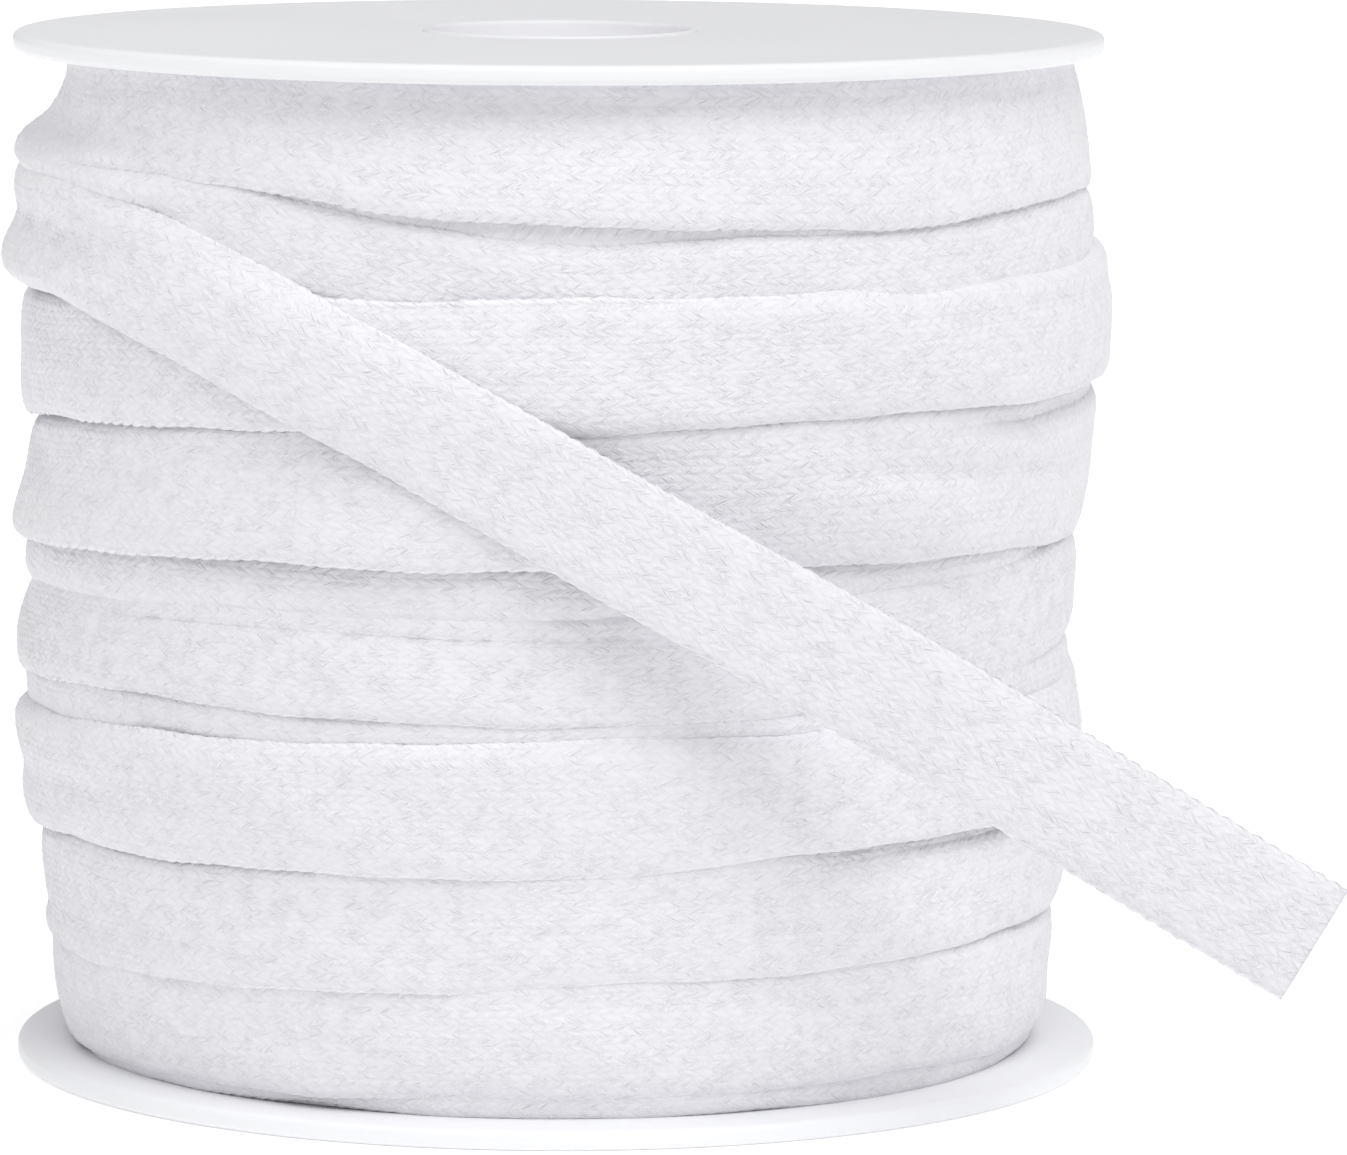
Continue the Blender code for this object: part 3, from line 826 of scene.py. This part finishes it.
def makeLoose(setting, surface):
    # The middle face, by distance along and across: the run is wrapped round the reel up to where
    # it leaves, then goes straight on along the tangent, bowed back by a square law.
    even, run, height, leave = looseLine(setting)
    slope = np.unwrap(np.arctan2(np.gradient(height), np.gradient(run)))
    startAzimuth = angleOf(joinStitch) - 360.0 * (len(course["turns"]) - 1)
    half = setting["width"] / 2
    felt, nearly = setting["past"]
    lengthways, crossways = setting["stations"]

    def spot(distance, across):
        tilt = np.interp(distance, even, slope) * ramp(distance, *setting["tiltIn"])
        at = np.interp(distance, even, run) + np.minimum(distance, 0.0) - across * np.sin(tilt)
        return at, np.interp(distance, even, height) + across * np.cos(tilt)

    coarse = np.linspace(0.0, even[-1], lengthways)
    stations = np.linspace(-half, half, crossways)
    at, level = spot(coarse[:, None], stations[None, :])
    lying = np.minimum(at, leave + nearly)
    azimuth = startAzimuth + np.degrees(lying / setting["wrap"])
    faces = woundRadius(azimuth, level, setting["least"])
    ridges = evened(faces, np.max, (2, 1))
    free = np.argmax((at > leave + felt).all(axis=1))
    ridges[free:] = np.max(ridges[free - 1])
    ridges = evened(evened(ridges, np.mean, (3, 1)), np.mean, (3, 2))
    close = evened(evened(faces, np.mean, (2, 1)), np.mean, (2, 1))
    hug = ramp(stations / half, *setting["hug"]) * (1.0 - ramp(at, leave - setting["hugUntil"], leave))
    ridges = ridges + (close - setting["press"] - ridges) * hug

    def place(stitch, share):
        distance = (stitch - joinStitch) * braid["stitch"]
        across = (share * 2.0 - 1.0) * half
        at, level = spot(distance, across)
        lifted = between(ridges, distance / even[-1] * (lengthways - 1), share * (crossways - 1))
        free = ramp(at - leave, *setting["freeFrom"])
        curl = setting["curl"] + (setting["curlFree"] - setting["curl"]) * free
        lifted = lifted + setting["clear"] + braid["thickness"] - curl * curled(share)
        lifted = lifted + 0.5 * course["crown"] * (1.0 - (2.0 * share - 1.0) ** 2)
        lastAngle = 360.0 * (len(course["turns"]) - 1) - 90.0
        wound, woundLevel = courseFace(np.minimum(angleOf(stitch), lastAngle), share)
        settled = ramp(distance, 0.0, setting["settle"])
        out = wound + (lifted - wound) * settled
        azimuth = startAzimuth + np.degrees(at / setting["wrap"])
        first, last = setting["flareAzimuths"]
        low, high = setting["flareShares"]
        grown = ramp(distance, 0.0, setting["flareIn"])
        flared = ramp(-share, -high, -low) * grown * ramp(-azimuth, -last, -first)
        out = out + (setting["flare"] - setting["flareRound"] * ramp(-share, -low, 0.0)) * flared
        level = woundLevel + (level - woundLevel) * ramp(distance, 0.0, setting["settle"] / 2)
        freeRun = np.maximum(at - leave, 0.0)
        out = out + drift(distance, 6.0, setting["waves"]) * ramp(distance, *setting["wavesFrom"])
        out = out - braid["thickness"] / 2 - setting["bow"] * (freeRun / setting["runs"][-1]) ** 2
        turned = np.radians(startAzimuth) + np.minimum(at, leave) / setting["wrap"]
        x = out * np.sin(turned) + freeRun * np.cos(turned)
        y = -out * np.cos(turned) + freeRun * np.sin(turned)
        return np.stack([x, y, level], axis=-1)

    end = joinStitch + even[-1] / braid["stitch"]
    piece = layCord("loose_cord", place, (joinStitch, end), *fineSteps, braid["rows"], surface,
                    "loose_end", cut=True)
    line = place(np.linspace(joinStitch, end, 80), 0.5) * mm


makeLoose(loose, whiteCotton)


# Reel: two flanges and a core, turned
reel = {
    "radius": 57.0,
    "thickness": 2.0,
    "height": 108.0,
    "edgeRound": 0.7,
    "hole": 14.4,
    "bore": 13.4,
    "hub": 16.0,
    "lipHeight": 0.25,     # mm that the core's mouth stands over the upper flange
    "gap": 0.3,            # mm between the core's hub and the flanges
    "holeRound": 0.25,     # mm, the rounding round the hole
    "steps": 240,
}
plastic = {
    "flange": (0.940, 0.945, 0.965),
    "core": (0.90, 0.90, 0.925),
    "roughness": 0.46,
    "specular": 0.35,
    "coat": (0.05, 0.3),   # weight and roughness
    "clouds": (38.0, 0.9, 0.10),   # per m, then what they do to the tone and to the roughness
    "shade": 0.965,        # the darker tone's share of the lighter
    "grain": (2600.0, 0.004),   # per m and mm, the mould's fine texture
    "rings": (1.3, 0.003), # mm apart and mm high, faint turning marks left by the mould
}


def quarter(centreX, centreZ, radius, start, steps=6):
    # a quarter round, clockwise from the angle start in degrees
    angles = np.radians(start - np.linspace(0.0, 90.0, steps + 1))
    return [(centreX + radius * math.cos(a), centreZ + radius * math.sin(a)) for a in angles]


def turnPart(name, profile, surface, node):
    # a closed profile of (radius, height), clockwise seen from -Y, carried round the axis
    profile = np.array(profile)
    steps = reel["steps"]
    azimuth = np.linspace(0.0, 360.0, steps + 1)
    around = len(profile)
    points = onReel(azimuth[:-1, None], profile[None, :, 0], profile[None, :, 1])
    faces = ringFaces(steps + 1, around)[:, ::-1] % (steps * around)
    closed = np.concatenate([profile, profile[:1]])
    length = np.concatenate([[0.0], np.cumsum(np.hypot(*np.diff(closed, axis=0).T))])
    ways = np.stack(np.broadcast_arrays(azimuth[:, None] / 360.0, length[None, :] / length[-1]), axis=-1)
    order = ringPairs(steps + 1, around).reshape(-1, 4)[:, ::-1].reshape(-1)
    piece = pieceFrom(name, points.reshape(-1, 3), faces.tolist(),
                      {"OFBake": ways.reshape(-1, 2)[order]}, surface, node)
    piece.data.set_sharp_from_angle(angle=math.radians(40.0))
    return piece


def plasticSurface(name, colour, roughness):
    surface, shader, root = newSurface(name, {
        "Specular IOR Level": plastic["specular"],
        "Coat Weight": plastic["coat"][0],
        "Coat Roughness": plastic["coat"][1],
    })
    where = root.make("ShaderNodeTexCoord", output=3)      # Object coordinates
    perMetre, toneShare, roughShare = plastic["clouds"]
    cloud = root.make("ShaderNodeTexNoise", {"noise_dimensions": "3D"}, {
        "Vector": where, "Scale": perMetre, "Detail": 3.0})
    grain = root.make("ShaderNodeTexNoise", {"noise_dimensions": "3D"}, {
        "Vector": where, "Scale": plastic["grain"][0], "Detail": 2.0})
    split = root.make("ShaderNodeSeparateXYZ", values={0: where})
    x, y = split.other(0), split.other(1)
    radius = (x * x + y * y) ** 0.5
    rings = root.maths("SINE", radius * (math.tau / (plastic["rings"][0] * mm)) + 2.0 * cloud)
    mask = 0.5 + toneShare * (cloud - 0.5)
    darker = tuple(channel * plastic["shade"] for channel in colour)
    shade = root.make("ShaderNodeMix", {"data_type": "RGBA", "clamp_factor": True}, {
        0: mask, 6: (*darker, 1.0), 7: (*colour, 1.0)}, output=2)
    feed(shader, shade, "Base Color")
    feed(shader, roughness - 0.04 + roughShare * cloud, "Roughness")
    height = plastic["grain"][1] * grain + plastic["rings"][1] * rings
    feed(shader, root.make("ShaderNodeBump", values={
        "Strength": 1.0, "Distance": mm, "Height": height}), "Normal")
    return surface


def makeReel(setting):
    flangeWhite = plasticSurface("flange_white", plastic["flange"], plastic["roughness"])
    coreWhite = plasticSurface("core_white", plastic["core"], plastic["roughness"] + 0.08)
    edge = setting["radius"] - setting["edgeRound"]
    soft = setting["holeRound"]
    for name, node, base in (("upper_flange", "flange_top", setting["height"] - setting["thickness"]),
                             ("lower_flange", "flange_bottom", 0.0)):
        top = base + setting["thickness"]
        rim = np.linspace(setting["hole"] + soft + 1.0, edge - 1.0, 9)
        profile = [(setting["hole"], base + soft)]
        profile += quarter(setting["hole"] + soft, top - soft, soft, 180.0, 3)
        profile += [(radius, top) for radius in rim]
        profile += quarter(edge, top - setting["edgeRound"], setting["edgeRound"], 90.0)
        profile += quarter(edge, base + setting["edgeRound"], setting["edgeRound"], 0.0)
        profile += [(radius, base) for radius in rim[::-1]]
        profile += [(setting["hole"] + soft, base)]
        turnPart(name, profile, flangeWhite, node)
    neck = setting["hole"]
    low = setting["thickness"] + setting["gap"]
    high = setting["height"] - low
    mouth = setting["height"] + setting["lipHeight"]
    roundOver = (neck - setting["bore"]) / 2
    wall = np.linspace(soft, mouth - roundOver - 1.0, 20)
    profile = [(setting["bore"] + soft, 0.0)]
    profile += [(setting["bore"], z) for z in wall]
    profile += quarter(setting["bore"] + roundOver, mouth - roundOver, roundOver, 180.0)
    profile += quarter(neck - roundOver, mouth - roundOver, roundOver, 90.0)[1:]
    profile += [(neck, high), (setting["hub"], high), (setting["hub"], low), (neck, low), (neck, 0.0)]
    turnPart("core", profile, coreWhite, "core_tube")
    print("reel turned")


makeReel(reel)


# Studio: a pale floor that glows, most behind the reel, even light from all round and a broad soft sun
# from above on the right
studio = {
    "floor": 9.0,          # m across, in so many cells each way
    "cells": 8,
    "floorColour": (0.93, 0.93, 0.93),
    "floorGlow": (0.21, 0.60),  # the floor glows as a light table, as for a picture on plain white, and far more behind the reel, where the glow washes out the reel's shadow: painted light
    "glowReach": (-0.05, 0.10),     # m along Y, where it has those strengths
    "around": (0.995, 0.995, 1.0),
    "aroundStrength": 0.43,
    # the key: strength, degrees across, which softens its shadows, and the way that it comes from
    "key": (1.42, 40.0, (0.26, -0.54, 1.05)),
    # soft boxes: name, W, m across, where they are and where they point
    "boxes": (
        ("left", 0.27, 0.24, (-0.26, -0.22, 0.36), (0.0, 0.0, 0.12)),
        ("right", 0.07, 0.20, (0.28, -0.15, 0.22), (0.0, 0.0, 0.08)),
        ("bore", 0.002, 0.02, (0.0, 0.0, 0.08), (0.001, 0.0, 0.20)),   # without it the bore is black
    ),
}


def shine(kind, name, energy, place, source):
    # a lamp at place whose light comes from the way of source
    lamp = bpy.data.lights.new(name, kind)
    lamp.energy = energy
    holder = bpy.data.objects.new(name, lamp)
    holder.visible_camera = False
    bpy.context.scene.collection.objects.link(holder)
    way = np.array(source) / np.linalg.norm(source)
    side = np.cross([0.0, 0.0, 1.0], way)
    side = side / np.linalg.norm(side)
    columns = np.stack([side, np.cross(way, side), way], axis=1)
    holder.matrix_world = Matrix([[*columns[i], place[i]] for i in range(3)] + [[0.0, 0.0, 0.0, 1.0]])
    return lamp


def makeStudio(setting):
    reach, cells = setting["floor"] / 2, setting["cells"]
    grid = np.linspace(-reach, reach, cells + 1)
    x, y = np.meshgrid(grid, grid, indexing="ij")
    points = np.stack([x, y, np.zeros_like(x)], axis=-1).reshape(-1, 3)
    corner = np.arange(cells)[:, None] * (cells + 1) + np.arange(cells)[None, :]
    faces = np.stack([corner, corner + cells + 1, corner + cells + 2, corner + 1], axis=-1).reshape(-1, 4)
    mesh = bpy.data.meshes.new("floor")
    mesh.from_pydata(points.tolist(), [], faces.tolist())
    surface, shader, root = newSurface("pale_floor", {"Roughness": 0.9, "Specular IOR Level": 0.1})
    shader.inputs["Base Color"].default_value = (*setting["floorColour"], 1.0)
    shader.inputs["Emission Strength"].default_value = 1.0
    split = root.make("ShaderNodeSeparateXYZ", values={0: root.make("ShaderNodeTexCoord", output=3)})
    # painted light: the floor's glow grows from in front of the reel to behind it, where it washes out the
    # reel's shadow
    glow = root.make("ShaderNodeMapRange", {"interpolation_type": "SMOOTHSTEP"}, {
        "Value": split.other(1),
        "From Min": setting["glowReach"][0], "From Max": setting["glowReach"][1],
        "To Min": setting["floorGlow"][0], "To Max": setting["floorGlow"][1]})
    feed(shader, glow, "Emission Color")
    mesh.materials.append(surface)
    floor = bpy.data.objects.new("floor", mesh)
    bpy.context.scene.collection.objects.link(floor)
    world = bpy.data.worlds.new("studio")
    world.use_nodes = True
    ground = world.node_tree.nodes["Background"]
    ground.inputs["Color"].default_value = (*setting["around"], 1.0)
    ground.inputs["Strength"].default_value = setting["aroundStrength"]
    bpy.context.scene.world = world
    strength, spread, source = setting["key"]
    shine("SUN", "key", strength, (0.0, 0.0, 0.0), source).angle = math.radians(spread)
    for name, energy, across, box, target in setting["boxes"]:
        lamp = shine("AREA", name, energy, box, np.subtract(box, target))
        lamp.shape = "DISK"
        lamp.size = across
    bpy.context.scene.view_settings.view_transform = "Standard"


makeStudio(studio)
print("studio lit")
